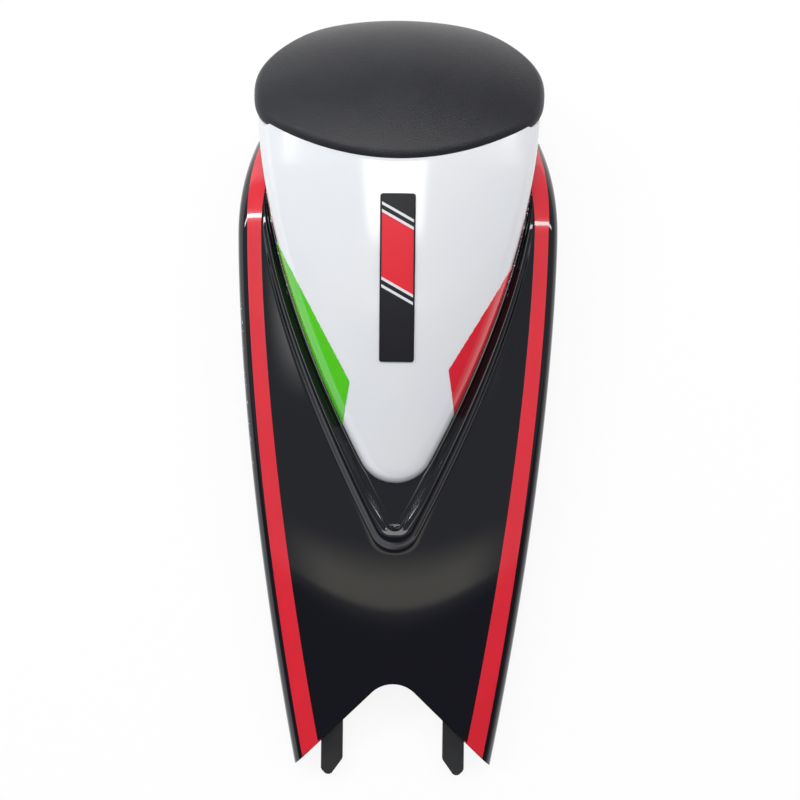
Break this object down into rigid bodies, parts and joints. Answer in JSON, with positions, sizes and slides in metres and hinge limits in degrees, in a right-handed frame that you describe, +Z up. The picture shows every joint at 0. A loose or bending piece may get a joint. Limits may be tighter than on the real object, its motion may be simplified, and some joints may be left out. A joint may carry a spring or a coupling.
{
  "type": "motorbike seat cowl",
  "caption": "Single-seat cowl of a sports motorbike: a glossy moulded hump with swept wings, a collared tail panel, side films and a padded backrest.",
  "frame": {"origin": "middle of the length and width, on the plane of the lower edge", "axes": "+Y towards the front of the bike, +X to its right, +Z up"},
  "size_m": [0.1868, 0.4435, 0.0978],
  "materials": {
    "shell_paint": "gloss black paint, with the hump in gloss white",
    "pad": "satin black moulded skin with a fine grain",
    "film_red": "gloss film",
    "film_green": "gloss film",
    "label": "domed gloss",
    "steel": "zinc plated"
  },
  "bodies": {
    "root": {"cowl_shell": "shell_paint", "back_pad": "pad", "pad_push_nuts": "steel", "lock_bracket": "steel", "lock_pin": "steel", "bracket_screws": "steel", "stripe_left": "film_red", "stripe_right": "film_red", "flash_left": "film_green", "flash_right": "film_red", "centre_label": "label"}
  },
  "joints": []
}
